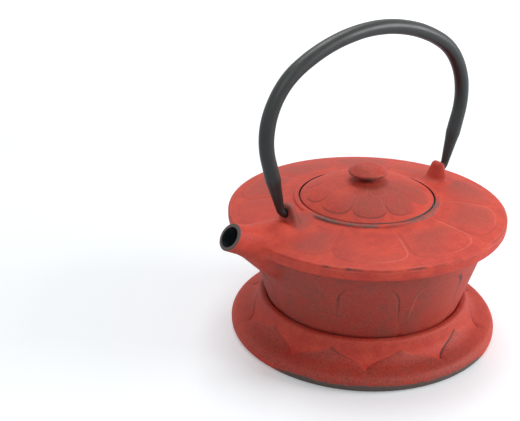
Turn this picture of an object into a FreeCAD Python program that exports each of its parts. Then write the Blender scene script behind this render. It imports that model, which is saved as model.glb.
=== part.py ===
import FreeCAD, Part
import math
import os

# A cast iron teapot that nests in a flared stand. Millimetres and degrees.
# The origin is the middle of the stand's foot ring, +Z is up and +X points along the spout.

# Casting shared by the stand, the pot and the lid
brim_radius = 90.0
brim_overhang = 12.4
wall_flare = 18.6
wall_rise = 60.0
underside_rise = 8.4
brim_thickness = 8.5
brim_edge_rounding = 1.4
shoulder_rise = 6.1
shoulder_bow = 0.6
casting_wall = 3.5
shoulder_wall = 4.0
floor_thickness = 4.0
base_rounding = 3.0
foot_ring_width = 14.0
foot_recess = 1.5

# Stand
seat_height = 8.0
seat_thickness = 4.0
seat_width = 19.0
stand_height = 25.2
stand_gap = 1.7
stand_flare = 19.1
skirt_run = 3.0
skirt_rise = 3.5
skirt_rounding = 16.0
stand_wall = 4.0
stand_rim_height = 8.6
stand_foot_width = 6.0
ridge_width = 4.2
ridge_drop = 2.4

# Mouth
mouth_radius = 44.2
lip_width = 3.3
lip_height = 1.5
ledge_width = 2.7
ledge_depth = 4.0

# Spout
spout_angle = 25.5
spout_mouth_angle = 37.0
spout_overhang = 16.0
spout_axis_drop = 0.9
spout_tip_radius = 8.4
spout_neck_radius = 9.3
spout_neck_share = 0.24
spout_belly_radius = 17.0
spout_belly_share = 0.66
spout_root_radius = 20.5
spout_root_inset = 2.8
spout_sweep = 40.0
spout_wall = 2.0
spout_blend = 6.0
channel_root_radius = 14.0

# Lugs and handle
lug_face_gap = 17.1
lug_foot_radius = 8.2
lug_crown_radius = 5.0
lug_crown_rounding = 4.2
lug_hole_height = 8.3
lug_rise = 5.5
lug_edge_rounding = 1.2
lug_blend = 2.0
socket_depth = 3.8
hook_radius = 2.6
hook_clearance = 0.4
hook_side_gap = 1.0
hook_end_gap = 0.6
hook_bend_radius = 5.0
handle_rise = 105.4
handle_radius = 4.8
handle_top_radius = 110.5
handle_corner_radius = 47.8
handle_leg_lean = 14.9
handle_taper_length = 21.0

# Infuser
infuser_gap = 0.7
infuser_flange_gap = 0.8
infuser_flange = 0.8
infuser_sheet = 0.6
infuser_mesh = 0.5
infuser_join_gap = 0.1
infuser_collar = 8.0
infuser_taper = 4.1
infuser_band = 4.0
infuser_floor_gap = 24.0

# Lid and knob
lid_gap = 1.0
lid_edge_height = 3.2
lid_rise = 11.4
lid_break_radius = 30.0
lid_break_share = 0.7
lid_thickness = 3.6
lid_boss_radius = 8.5
lid_flange_gap = 0.7
lid_flange_width = 2.2
lid_flange_depth = 5.2
stud_radius = 3.0
stud_clearance = 0.2
washer_radius = 7.0
washer_thickness = 1.2
peen_radius = 4.6
peen_height = 1.8
neck_radius = 5.6
neck_height = 3.8
knob_radius = 12.9
knob_disc_height = 2.7
knob_crown = 3.8

# Heights and radii that follow from the sizes above
wall_top_radius = brim_radius - brim_overhang
base_radius = wall_top_radius - wall_flare
base_height = seat_height
wall_slope = wall_flare / wall_rise
wall_top_height = base_height + wall_rise
brim_low_height = wall_top_height + underside_rise
brim_top_height = brim_low_height + brim_thickness
lip_outer_radius = mouth_radius + lip_width
lip_base_height = brim_top_height + shoulder_rise
lip_top_height = lip_base_height + lip_height
ledge_height = lip_top_height - ledge_depth
throat_radius = mouth_radius - ledge_width
floor_height = base_height + floor_thickness
lug_face_radius = lip_outer_radius + lug_face_gap
hook_foot_radius = lug_face_radius + hook_side_gap + hook_radius
lid_seat_height = ledge_height + infuser_flange
lid_top_height = lid_seat_height + lid_edge_height + lid_rise
lid_under_height = lid_top_height - lid_thickness
stud_hole_radius = stud_radius + stud_clearance

# The share of a straight run that one rounded corner may use
ROUND_SHARE = 0.49
# How near to both surfaces an edge lies to count as their seam
SEAM_REACH = 0.001
ORIGIN = FreeCAD.Vector(0, 0, 0)
UP = FreeCAD.Vector(0, 0, 1)


def wall_radius(height):
    """Outside radius of the pot's straight wall at a height above the table."""
    return base_radius + (height - base_height) * wall_slope


def inner_wall_radius(height):
    return wall_radius(height) - casting_wall * math.hypot(1, wall_slope)


def shoulder_height(radius):
    """Height of the straight line from the brim's edge up to the mouth's lip."""
    share = (brim_radius - radius) / (brim_radius - lip_outer_radius)
    return brim_top_height + share * shoulder_rise


def outline(points):
    """Closed wire in the XZ plane through (across, up, rounding) corners."""
    corners = [FreeCAD.Vector(across, 0, up) for across, up, rounding in points]
    edges = []
    stops = []
    for index, here in enumerate(corners):
        back = corners[index - 1] - here
        ahead = corners[(index + 1) % len(corners)] - here
        rounding = points[index][2]
        if rounding == 0:
            stops.append((here, here, here))
            continue
        half_angle = back.getAngle(ahead) / 2
        room = ROUND_SHARE * min(back.Length, ahead.Length)
        trim = min(rounding / math.tan(half_angle), room)
        enter = here + back * (trim / back.Length)
        leave = here + ahead * (trim / ahead.Length)
        middle = (enter + leave) * 0.5 - here
        stops.append((enter, here + middle * (1 / (1 + math.sin(half_angle))), leave))
    for index, (enter, through, leave) in enumerate(stops):
        if enter != leave:
            edges.append(Part.Arc(enter, through, leave).toShape())
        following = stops[(index + 1) % len(stops)][0]
        edges.append(Part.LineSegment(leave, following).toShape())
    return Part.Wire(edges)


def turned(points):
    """Solid of revolution about the vertical axis."""
    return Part.Face(outline(points)).revolve(ORIGIN, UP, 360)


def lies_on(edge, solid):
    """Whether the middle of an edge is on a solid's surface."""
    first, last = edge.ParameterRange
    middle = Part.Vertex(edge.valueAt((first + last) / 2))
    return solid.Shells[0].distToShape(middle)[0] < SEAM_REACH


def joined(casting, addition, blend):
    """The two as one casting, with the seam between them filled by a smooth blend."""
    whole = casting.fuse(addition).removeSplitter()
    seam = [edge for edge in whole.Edges if lies_on(edge, addition) and lies_on(edge, casting)]
    return whole.makeFillet(blend, seam)


def along_x(solid):
    """The same piece on the opposite side of the pot."""
    return solid.mirror(ORIGIN, FreeCAD.Vector(1, 0, 0))


def make_stand():
    """Ring with a concave skirt outside, a tapered well inside and a ledge for the pot's foot."""
    def well(height):
        return wall_radius(height) + stand_gap

    ridge_height = stand_height - ridge_drop
    ridge_inner = well(ridge_height)
    ridge_outer = ridge_inner + ridge_width
    rim_radius = ridge_outer + stand_flare
    seat_under = seat_height - seat_thickness
    hollow_height = stand_height - 2 * stand_wall
    return turned([
        (rim_radius - stand_rim_height * 0.3 - stand_foot_width, 0, 1.0),
        (rim_radius, 0, stand_rim_height * 0.45),
        (rim_radius, stand_rim_height, stand_rim_height * 0.45),
        (ridge_outer + skirt_run, stand_rim_height + skirt_rise, skirt_rounding),
        (ridge_outer, stand_height, ridge_drop),
        (ridge_inner, stand_height, ridge_drop * 0.7),
        (well(seat_height), seat_height, 0),
        (base_radius - seat_width, seat_height, 0.8),
        (base_radius - seat_width, seat_under, 0.8),
        (well(seat_under) + stand_wall, seat_under, 1.0),
        (well(hollow_height) + stand_wall, hollow_height, 1.0),
    ])


def spout_tip():
    angle = math.radians(spout_angle)
    rise = spout_overhang * math.tan(angle) - spout_axis_drop
    return FreeCAD.Vector(brim_radius + spout_overhang, 0, brim_top_height + rise)


def at_spout_tip(solid, angle):
    """Puts a shape, drawn about the vertical axis with the tip at the origin, on a sloping axis."""
    turn = FreeCAD.Rotation(FreeCAD.Vector(0, 1, 0), 90 - angle)
    solid.Placement = FreeCAD.Placement(spout_tip(), turn)
    return solid


def spout_length():
    """From the tip back to the root whose lowest point lies just inside the pot's wall."""
    across = math.cos(math.radians(spout_angle))
    up = math.sin(math.radians(spout_angle))
    tip = spout_tip()
    past_wall = tip.x + spout_root_inset - wall_radius(tip.z)
    return (past_wall + spout_root_radius * (up + wall_slope * across)) / (across - wall_slope * up)


def make_spout():
    """Trumpet that swells from the tip into the shoulder and the wall, with a slanted mouth."""
    length = spout_length()
    past = 2 * spout_wall
    trumpet = at_spout_tip(turned([
        (0, -length, 0),
        (spout_root_radius, -length, 0),
        (spout_belly_radius, -length * spout_belly_share, spout_sweep),
        (spout_neck_radius, -length * spout_neck_share, spout_sweep),
        (spout_tip_radius, past, 0),
        (0, past, 0),
    ]), spout_angle)
    beyond = at_spout_tip(Part.makeCylinder(spout_root_radius, spout_root_radius), spout_mouth_angle)
    spout = trumpet.cut(beyond)
    return spout.makeFillet(spout_wall * 0.4, [edge for edge in spout.Edges if lies_on(edge, beyond)])


def make_channel():
    """Bore of the spout, from inside the pot to just past the tip."""
    length = spout_length()
    bore_radius = spout_tip_radius - spout_wall
    past = 2 * spout_wall
    return at_spout_tip(turned([
        (0, -length, 0),
        (channel_root_radius, -length, 0),
        (bore_radius, -length * spout_neck_share, spout_sweep),
        (bore_radius, past, 0),
        (0, past, 0),
    ]), spout_angle)


def hinge_height():
    return shoulder_height(lug_face_radius) + lug_hole_height


def make_lug():
    """Half-round ear on the +X side, with its flat face outwards and no socket yet."""
    foot = shoulder_height(lug_face_radius) - shoulder_wall * 0.5
    top = hinge_height() + lug_rise
    thimble = turned([
        (0, foot, 0),
        (lug_foot_radius, foot, 0),
        (lug_crown_radius, top, lug_crown_rounding),
        (0, top, 0),
    ])
    corner = FreeCAD.Vector(0, -lug_foot_radius, foot)
    ear = thimble.cut(Part.makeBox(lug_foot_radius, 2 * lug_foot_radius, top - foot, corner))
    on_face = [edge for edge in ear.Edges if edge.BoundBox.XMin > -SEAM_REACH]
    rims = [edge for edge in on_face if edge.BoundBox.ZLength > SEAM_REACH]
    ear = ear.makeFillet(lug_edge_rounding, rims)
    ear.translate(FreeCAD.Vector(lug_face_radius, 0, 0))
    return ear


def make_socket():
    """Blind hole in the +X lug's face, on the handle's hinge axis."""
    start = FreeCAD.Vector(lug_face_radius - socket_depth, 0, hinge_height())
    return Part.makeCylinder(hook_radius + hook_clearance, 2 * socket_depth, start, FreeCAD.Vector(1, 0, 0))


def make_pot_blank():
    """Outside of the pot as one turned solid, closed at the mouth."""
    foot_inner = base_radius - foot_ring_width
    middle = (brim_radius + lip_outer_radius) / 2
    return turned([
        (0, base_height + foot_recess, 0),
        (foot_inner, base_height + foot_recess, 0.8),
        (foot_inner, base_height, 0.5),
        (base_radius, base_height, base_rounding),
        (wall_radius(brim_low_height), brim_low_height, underside_rise),
        (brim_radius, brim_low_height, brim_thickness * 0.5),
        (brim_radius, brim_top_height, brim_edge_rounding),
        (middle, shoulder_height(middle) + shoulder_bow, 200.0),
        (lip_outer_radius, lip_base_height, lip_height * 0.5),
        (lip_outer_radius, lip_top_height, lip_height * 0.5),
        (0, lip_top_height, 0),
    ])


def make_cavity():
    """Inside of the pot with its throat, ledge and mouth."""
    roof_edge = wall_top_radius
    return turned([
        (0, floor_height, 0),
        (inner_wall_radius(floor_height), floor_height, base_rounding * 3),
        (roof_edge, shoulder_height(roof_edge) - shoulder_wall, base_rounding * 2),
        (throat_radius, shoulder_height(throat_radius) - shoulder_wall, 1.0),
        (throat_radius, ledge_height, 0.4),
        (mouth_radius, ledge_height, 0),
        (mouth_radius, lip_top_height, 0),
        (mouth_radius, lip_top_height + lip_height, 0),
        (0, lip_top_height + lip_height, 0),
    ])


def make_pot_body():
    """One casting: the turned pot with its spout and lugs, hollowed out and bored."""
    lug = make_lug()
    socket = make_socket()
    with_spout = joined(make_pot_blank(), make_spout(), spout_blend)
    with_lug = joined(with_spout, along_x(lug), lug_blend)
    whole = joined(with_lug, lug, lug_blend)
    return whole.cut([make_cavity(), make_channel(), socket, along_x(socket)]).removeSplitter()


def make_lid():
    """Domed cover that rests on the infuser's flange, with a flange that centres it."""
    edge = mouth_radius - lid_gap
    edge_top = lid_seat_height + lid_edge_height
    break_height = edge_top + lid_rise * lid_break_share
    flange_outer = lid_flange_radius()
    flange_inner = flange_outer - lid_flange_width
    flange_low = lid_seat_height - lid_flange_depth
    return turned([
        (stud_hole_radius, lid_under_height, 0),
        (lid_boss_radius, lid_under_height, 0),
        (lid_break_radius - lid_thickness / 2, break_height - lid_thickness, 40.0),
        (flange_inner, edge_top - lid_thickness * 0.3, 2.0),
        (flange_inner, flange_low, 0.5),
        (flange_outer, flange_low, 0.5),
        (flange_outer, lid_seat_height, 0),
        (edge, lid_seat_height, 0.4),
        (edge, edge_top, 1.2),
        (lid_break_radius, break_height, 45.0),
        (lid_boss_radius, lid_top_height, 2.0),
        (stud_hole_radius, lid_top_height, 0),
    ])


def lid_flange_radius():
    return throat_radius - infuser_gap - infuser_sheet - infuser_join_gap - infuser_mesh - lid_flange_gap


def make_lid_knob():
    """Disc knob on a narrow neck, with a stud that is peened over below the lid."""
    washer_low = lid_under_height - washer_thickness
    neck_top = lid_top_height + neck_height
    disc_top = neck_top + knob_disc_height
    return turned([
        (0, washer_low - peen_height, 0),
        (peen_radius, washer_low - peen_height, peen_height * 0.9),
        (peen_radius, washer_low, 0),
        (stud_radius, washer_low, 0),
        (stud_radius, lid_top_height, 0),
        (neck_radius, lid_top_height, 0.6),
        (neck_radius - 0.6, neck_top - 0.6, 2.0),
        (knob_radius - 0.8, neck_top + knob_disc_height * 0.3, 0.8),
        (knob_radius, disc_top - knob_disc_height * 0.3, 0.8),
        (knob_radius - 0.8, disc_top, 1.0),
        (knob_radius * 0.5, disc_top + knob_crown, knob_radius),
        (0, disc_top + knob_crown, 0),
    ])


def make_knob_washer():
    washer_low = lid_under_height - washer_thickness
    return turned([
        (stud_hole_radius, washer_low, 0),
        (washer_radius, washer_low, 0.3),
        (washer_radius, lid_under_height, 0),
        (stud_hole_radius, lid_under_height, 0),
    ])


def infuser_collar_inner():
    return throat_radius - infuser_gap - infuser_sheet


def infuser_mesh_outer():
    return infuser_collar_inner() - infuser_join_gap


def infuser_floor_top():
    return floor_height + infuser_floor_gap + infuser_sheet


def make_infuser_rim():
    """Ring whose flange lies on the mouth's ledge and whose collar holds the mesh."""
    collar_inner = infuser_collar_inner()
    collar_outer = collar_inner + infuser_sheet
    flange_outer = mouth_radius - infuser_flange_gap
    flange_inner = infuser_mesh_outer() - infuser_mesh
    collar_low = ledge_height - infuser_collar
    return turned([
        (flange_inner, lid_seat_height, 0),
        (flange_outer, lid_seat_height, 0.3),
        (flange_outer, ledge_height, 0),
        (collar_outer, ledge_height, 0),
        (collar_outer, collar_low, 0),
        (collar_inner, collar_low, 0),
        (collar_inner, ledge_height, 0),
        (flange_inner, ledge_height, 0),
    ])


def make_infuser_wall():
    """Side of the basket: straight in the collar, tapered below it, straight again in the base's band."""
    top = infuser_mesh_outer()
    low = top - infuser_taper
    straight_low = ledge_height - infuser_collar - infuser_sheet
    floor_top = infuser_floor_top()
    band_top = floor_top + infuser_band + infuser_sheet
    return turned([
        (top - infuser_mesh, ledge_height, 0),
        (top, ledge_height, 0),
        (top, straight_low, 0),
        (low, band_top, 0),
        (low, floor_top, 0),
        (low - infuser_mesh, floor_top, 0),
        (low - infuser_mesh, band_top, 0),
        (top - infuser_mesh, straight_low, 0),
    ])


def make_infuser_base():
    band_inner = infuser_mesh_outer() - infuser_taper + infuser_join_gap
    band_outer = band_inner + infuser_sheet
    floor_top = infuser_floor_top()
    floor_low = floor_top - infuser_sheet
    return turned([
        (0, floor_low, 0),
        (band_outer, floor_low, infuser_sheet * 0.8),
        (band_outer, floor_top + infuser_band, 0),
        (band_inner, floor_top + infuser_band, 0),
        (band_inner, floor_top, 0),
        (0, floor_top, 0),
    ])


def tube(path, radius, start, direction):
    """Round bar of one radius along a path of straight runs and tangent arcs."""
    ring = Part.Wire(Part.makeCircle(radius, start, direction))
    return path.makePipeShell([ring], True, False)


def make_handle():
    """Bail of two arcs and two leaning legs, each tapered to a hook that enters its lug from outside."""
    lean = math.radians(handle_leg_lean)
    foot = FreeCAD.Vector(hook_foot_radius, 0, hinge_height())
    down = FreeCAD.Vector(-math.sin(lean), 0, -math.cos(lean))
    outward = FreeCAD.Vector(math.cos(lean), 0, -math.sin(lean))
    apex = FreeCAD.Vector(0, 0, foot.z + handle_rise)
    top_centre = apex - UP * handle_top_radius

    def on_arc(centre, radius, angle):
        return centre + FreeCAD.Vector(math.sin(angle), 0, math.cos(angle)) * radius

    reach = (foot - top_centre).dot(outward) - handle_corner_radius
    join_angle = lean + math.asin(reach / (handle_top_radius - handle_corner_radius))
    corner_centre = on_arc(top_centre, handle_top_radius - handle_corner_radius, join_angle)
    leg_angle = math.pi / 2 + lean
    join = on_arc(top_centre, handle_top_radius, join_angle)
    corner_middle = on_arc(corner_centre, handle_corner_radius, (join_angle + leg_angle) / 2)
    leg_top = on_arc(corner_centre, handle_corner_radius, leg_angle)

    # The bend between the leg and the hook turns by a right angle less the lean
    trim = hook_bend_radius * math.tan((math.pi / 2 - lean) / 2)
    leg_low = foot - down * trim
    taper_top = leg_low - down * handle_taper_length
    bend_end = foot - FreeCAD.Vector(trim, 0, 0)
    bend_centre = leg_low - outward * hook_bend_radius
    bend_middle = on_arc(bend_centre, hook_bend_radius, (leg_angle + math.pi) / 2)
    tip = FreeCAD.Vector(lug_face_radius - socket_depth + hook_end_gap, 0, foot.z)

    half = Part.Wire([
        Part.Arc(apex, on_arc(top_centre, handle_top_radius, join_angle / 2), join).toShape(),
        Part.Arc(join, corner_middle, leg_top).toShape(),
        Part.LineSegment(leg_top, taper_top).toShape(),
    ])
    hook = Part.Wire([
        Part.Arc(leg_low, bend_middle, bend_end).toShape(),
        Part.LineSegment(bend_end, tip).toShape(),
    ])
    arch = tube(half, handle_radius, apex, FreeCAD.Vector(1, 0, 0))
    taper = Part.makeCone(handle_radius, hook_radius, handle_taper_length, taper_top, down)
    end = tube(hook, hook_radius, leg_low, down)
    side = arch.fuse([taper, end])
    return side.fuse(along_x(side)).removeSplitter()


PIECES = {
    "stand": make_stand,
    "pot_body": make_pot_body,
    "infuser_rim": make_infuser_rim,
    "infuser_wall": make_infuser_wall,
    "infuser_base": make_infuser_base,
    "lid": make_lid,
    "lid_knob": make_lid_knob,
    "knob_washer": make_knob_washer,
    "handle": make_handle,
}

os.makedirs("parts", exist_ok=True)
for name, make in PIECES.items():
    shape = make()
    shape.exportStep("parts/" + name + ".step")
    print(name, len(shape.Solids), shape.isValid(), round(shape.Volume))
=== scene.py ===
import math

import bmesh
import bpy
from mathutils import Matrix, Vector, noise
from mathutils.kdtree import KDTree


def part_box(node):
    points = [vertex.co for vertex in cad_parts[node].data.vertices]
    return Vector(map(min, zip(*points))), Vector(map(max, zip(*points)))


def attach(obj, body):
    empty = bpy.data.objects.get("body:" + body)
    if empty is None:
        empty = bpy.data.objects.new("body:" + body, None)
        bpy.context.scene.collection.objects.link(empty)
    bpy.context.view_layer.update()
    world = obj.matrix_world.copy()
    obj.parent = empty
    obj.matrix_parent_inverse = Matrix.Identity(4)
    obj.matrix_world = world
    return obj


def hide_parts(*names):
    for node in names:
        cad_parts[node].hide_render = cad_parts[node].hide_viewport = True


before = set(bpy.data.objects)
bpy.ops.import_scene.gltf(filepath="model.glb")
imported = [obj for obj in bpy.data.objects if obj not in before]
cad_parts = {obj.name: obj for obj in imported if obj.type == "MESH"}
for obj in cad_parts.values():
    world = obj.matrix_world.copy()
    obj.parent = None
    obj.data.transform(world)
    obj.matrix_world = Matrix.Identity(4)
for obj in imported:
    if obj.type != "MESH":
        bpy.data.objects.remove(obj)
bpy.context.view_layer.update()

MM = 0.001
UP = Vector((0, 0, 1))
FULL_TURN = 2 * math.pi

# Camera, at the photograph's place and framing
image_width = 520
camera_azimuth = math.radians(138.5)
camera_elevation = math.radians(25.13)
camera_distance = 636.2 * MM
camera_target_height = 70 * MM
camera_pitch = math.radians(24.32)
camera_yaw = math.radians(6.9)
camera_focal_pixels = 960.1
sensor_width = 36.0

# Meshing: columns round each turned piece and the spacing of its rows
pot_columns = 460
cavity_columns = 180
stand_columns = 480
lid_columns = 420
knob_columns = 160
fine_row = 1.0 * MM
plain_row = 2.4 * MM
hidden_row = 24 * MM
section_step = 0.3 * MM
straight_run = math.radians(0.5)
weld = 0.001 * MM
sharp_corner = math.radians(48)

# Petal pattern
petal_count = 10
petal_pitch = FULL_TURN / petal_count
petal_turn = math.radians(16)
cap_power = 2.6
viewer_heading = math.radians(48.5)
hand_wander = 0.5 * MM
wander_scale = 60
line_scale = 38
pattern_seed = 5

shoulder_petal_start = 51 * MM
shoulder_petal_cap = 72 * MM
shoulder_petal_end = 83.4 * MM
shoulder_petal_share = 0.955
shoulder_petal_height = 0.35 * MM

panel_cap_height = 54 * MM
panel_top = 66 * MM
panel_half_angle = math.radians(13.6)
panel_spread = math.radians(0.09) / MM
panel_height = 0.5 * MM

lobe_tip_radius = 71.2 * MM
lobe_notch_radius = 80.4 * MM
lobe_power = 8
lobe_fade = (84.4 * MM, 88.2 * MM)
lobe_height = 0.75 * MM
lobe_tip_softness = 0.12
lobe_lines_fade = (80 * MM, 84 * MM)
stand_ridge_radius = 67.4 * MM

lid_petal_start = 24 * MM
lid_petal_cap = 32 * MM
lid_petal_end = 39.4 * MM
lid_petal_height = 0.16 * MM
lid_petal_half = 0.47
lid_inner_start = 11 * MM
lid_inner_cap = 17 * MM
lid_inner_end = 23.6 * MM
lid_inner_height = 0.1 * MM
lid_inner_half = 0.48

knob_petal_count = 8
knob_petal_cap = 6.5 * MM
knob_petal_end = 11 * MM
knob_petal_height = 0.15 * MM
knob_petal_half = 0.47

# Pot's wall: its radius at the floor's level and its growth with height; then the shoulder above it
wall_foot_radius = 56.5 * MM
wall_slope = 0.31
shoulder_height = 84 * MM
shoulder_inner_radius = 46 * MM

# Spout, on its own axis back from the tip
spout_angle = math.radians(25.5)
mouth_angle = math.radians(37)
mouth_direction = Vector((math.cos(mouth_angle), 0, math.sin(mouth_angle)))
spout_tip = Vector((106, 0, 91.63)) * MM
spout_length = 49.97 * MM
spout_root_radius = 20.5 * MM
spout_belly_radius = 17 * MM
spout_belly_share = 0.66
spout_neck_radius = 9.3 * MM
spout_neck_share = 0.24
spout_tip_radius = 8.4 * MM
spout_lip_rounding = 0.8 * MM
past_tip = 4 * MM
spout_sweep = 40 * MM
channel_radius = 6.4 * MM
channel_root_radius = 14 * MM
spout_joint_reach = 7 * MM

# Handle lugs and the bail that hooks into them
hinge_height = 96.8456 * MM
lug_face_radius = 64.6 * MM
lug_foot_height = 86.55 * MM
lug_top_height = 102.34 * MM
lug_foot_radius = 10.8 * MM
lug_crown_radius = 4.7 * MM
lug_crown_rounding = 4.2 * MM
lug_edge_rounding = 2.0 * MM
lug_middle_radius = 60.6 * MM
lug_joint_reach = 5 * MM
lug_zone = 15 * MM
socket_radius = 3 * MM
socket_depth = 3.8 * MM
hook_radius = 2.6 * MM
hook_foot_radius = 68.2 * MM
hook_tip_radius = 61.4 * MM
hook_bend_radius = 5 * MM
hook_tip_length = 0.8 * MM
hook_tip_steps = ((0.5 * MM, 0.85), (0.3 * MM, 0.7))
handle_radius = 4.8 * MM
handle_rise = 105.4 * MM
handle_top_radius = 110.5 * MM
handle_corner_radius = 47.8 * MM
handle_lean = math.radians(14.9)
handle_taper_length = 21 * MM
handle_sides = 32
bend_steps = 40
leg_steps = 16
taper_steps = 14
hook_steps = 6

# Studio: how far the paper's own white is lifted near and far, the sky's level and three soft lights
floor_lift = 0.24
far_floor = (0.45, 1.5)
sky_level = 0.33
key_place = Vector((-0.52, -0.76, 3.0))
key_size = 1.6
key_power = 44.5
front_place = Vector((1.3, 1.3, 2.0))
front_size = 1.2
front_power = 9.2
side_place = Vector((-0.82, 0.73, 0.5))
side_size = 0.6
side_power = 8.5

# Colours in screen values, from 0 to 255
red_low = (190, 51, 33)
red_high = (211, 72, 50)
rub_and_shade_brown = (120, 62, 52)
grit_brown = (88, 36, 31)
chip_and_shade_brown = (78, 32, 28)
glint_pink = (228, 138, 122)
wear_and_shade_grey = (90, 76, 71)
enamel_low = (36, 42, 46)
enamel_high = (50, 57, 61)
bail_low = (20, 23, 24)
bail_high = (31, 34, 34)
steel_low = (178, 180, 182)
steel_high = (205, 206, 207)
red_grain_size = 1.1 * MM
bail_grain_size = 0.9 * MM

# Basket weave
weave_columns = 170
weave_pitch = 1.5 * MM
wire_size = 0.45 * MM
ring_columns = 200
washer_columns = 60


def linear(red, green, blue):
    """A colour written in screen values from 0 to 255, as the shader takes it."""
    def one(value):
        share = value / 255
        return share / 12.92 if share <= 0.04045 else ((share + 0.055) / 1.055) ** 2.4
    return (one(red), one(green), one(blue), 1.0)


def everything(bm):
    return bm.verts[:] + bm.edges[:] + bm.faces[:]


def merged_copy(node):
    """A CAD node's mesh with its loose triangles joined."""
    bm = bmesh.new()
    bm.from_mesh(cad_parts[node].data)
    bmesh.ops.remove_doubles(bm, verts=bm.verts, dist=weld)
    return bm


def half_section(node):
    """Outline of a turned CAD node on its +Y side, in order, as (radius, height) points."""
    bm = merged_copy(node)
    bmesh.ops.bisect_plane(bm, geom=everything(bm), dist=weld, plane_co=(0, 0, 0), plane_no=(1, 0, 0),
                           clear_inner=True, clear_outer=True)
    bmesh.ops.bisect_plane(bm, geom=everything(bm), dist=weld, plane_co=(0, 0, 0), plane_no=(0, -1, 0),
                           clear_outer=True)
    bmesh.ops.remove_doubles(bm, verts=bm.verts, dist=weld)
    ends = [vert for vert in bm.verts if len(vert.link_edges) == 1]
    here = min(ends or bm.verts[:], key=lambda vert: (vert.co.z, vert.co.y))
    chain = [here]
    while True:
        onward = [edge.other_vert(here) for edge in here.link_edges]
        onward = [vert for vert in onward if vert not in chain[-2:] and vert is not chain[0]]
        if not onward:
            break
        here = max(onward, key=lambda vert: (vert.co.y, vert.co.z))
        chain.append(here)
    points = [(vert.co.y, vert.co.z) for vert in chain]
    if ends:
        # An open outline starts and ends on the axis
        points[0] = (0, points[0][1])
        points[-1] = (0, points[-1][1])
    else:
        points.append(points[0])
    bm.free()
    return thinned(points)


def thinned(points):
    """An outline without the points that lie very close together or on a straight run."""
    kept = points[:1]
    for here, ahead in zip(points[1:], points[2:]):
        before = Vector(here) - Vector(kept[-1])
        after = Vector(ahead) - Vector(here)
        if before.length > section_step and before.angle(after, 0) > straight_run:
            kept.append(here)
    return kept + points[-1:]


def rounded(corners, steps=8):
    """Points of an outline through (across, up, rounding) corners, each rounded by an arc."""
    points = []
    for index, (across, up, rounding) in enumerate(corners):
        here = Vector((across, up))
        if rounding == 0:
            points.append((across, up))
            continue
        back = Vector(corners[index - 1][:2]) - here
        ahead = Vector(corners[index + 1][:2]) - here
        half = back.angle(ahead) / 2
        trim = min(rounding / math.tan(half), 0.49 * min(back.length, ahead.length))
        radius = trim * math.tan(half)
        enter = here + back.normalized() * trim
        leave = here + ahead.normalized() * trim
        centre = here + (back.normalized() + ahead.normalized()).normalized() * (radius / math.sin(half))
        for step in range(steps + 1):
            chord = enter.lerp(leave, step / steps) - centre
            points.append(tuple(centre + chord.normalized() * radius))
    return points


def turned(points, columns, row, sectors=10):
    """A closed solid spun about Z from an outline; row gives the largest step at a radius and height."""
    bm = bmesh.new()
    verts = [bm.verts.new((radius, 0, height)) for radius, height in points]
    edges = [bm.edges.new(pair) for pair in zip(verts, verts[1:])]
    for edge in edges:
        middle = (edge.verts[0].co + edge.verts[1].co) / 2
        cuts = math.ceil(edge.calc_length() / row(middle.x, middle.z)) - 1
        if cuts > 0:
            bmesh.ops.subdivide_edges(bm, edges=[edge], cuts=cuts)
    # One sector is spun, then copied round, which is much quicker than one full spin
    part = FULL_TURN / sectors
    bmesh.ops.spin(bm, geom=bm.verts[:] + bm.edges[:], cent=(0, 0, 0), axis=UP, dvec=(0, 0, 0),
                   angle=part, steps=columns // sectors)
    bmesh.ops.spin(bm, geom=everything(bm), cent=(0, 0, 0), axis=UP, dvec=(0, 0, 0),
                   angle=FULL_TURN - part, steps=sectors - 1, use_duplicate=True)
    bmesh.ops.remove_doubles(bm, verts=bm.verts, dist=0.02 * MM)
    bmesh.ops.recalc_face_normals(bm, faces=bm.faces)
    return bm


def smooth_faces(bm):
    """Smooth shading, broken at corners sharper than a casting's soft edges."""
    for face in bm.faces:
        face.smooth = True
    for edge in bm.edges:
        edge.smooth = len(edge.link_faces) != 2 or edge.calc_face_angle() < sharp_corner


def as_object(bm, name):
    mesh = bpy.data.meshes.new(name)
    smooth_faces(bm)
    bm.to_mesh(mesh)
    bm.free()
    piece = bpy.data.objects.new(name, mesh)
    bpy.context.scene.collection.objects.link(piece)
    return piece


def applied(piece):
    """Gives a piece the mesh that its modifiers make."""
    bpy.context.view_layer.update()
    graph = bpy.context.evaluated_depsgraph_get()
    mesh = bpy.data.meshes.new_from_object(piece.evaluated_get(graph))
    piece.modifiers.clear()
    piece.data = mesh


def combined(base, tools, operation):
    """The base mesh with each tool joined to it or cut from it; the tools are used up."""
    for tool in tools:
        change = base.modifiers.new("change", "BOOLEAN")
        change.operation = operation
        change.solver = "EXACT"
        change.material_mode = "TRANSFER"
        change.object = tool
    applied(base)
    for tool in tools:
        bpy.data.objects.remove(tool)
    return base


def wrapped(angle, pitch):
    return (angle + pitch / 2) % pitch - pitch / 2


def rise(value, low, high):
    """Smooth climb from 0 at low to 1 at high."""
    share = min(1, max(0, (value - low) / (high - low)))
    return share * share * (3 - 2 * share)


def soft_share(share, softness):
    """A share from 0 to 1 whose start is rounded off."""
    return (math.hypot(share, softness) - softness) / (math.hypot(1, softness) - softness)


def bump(value, width):
    return math.exp(-(value / width) ** 2)


def petal_depth(across, half_width, along, cap):
    """How far inside a petal's outline a point lies: straight sides, then a rounded cap."""
    if along <= 0:
        return half_width - abs(across)
    side = abs(across) / half_width
    end = along / cap
    level = 1 - side ** cap_power - end ** cap_power
    slope = math.hypot(side ** (cap_power - 1) / half_width, end ** (cap_power - 1) / cap) * cap_power
    return level / max(slope, 1e-3)


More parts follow.
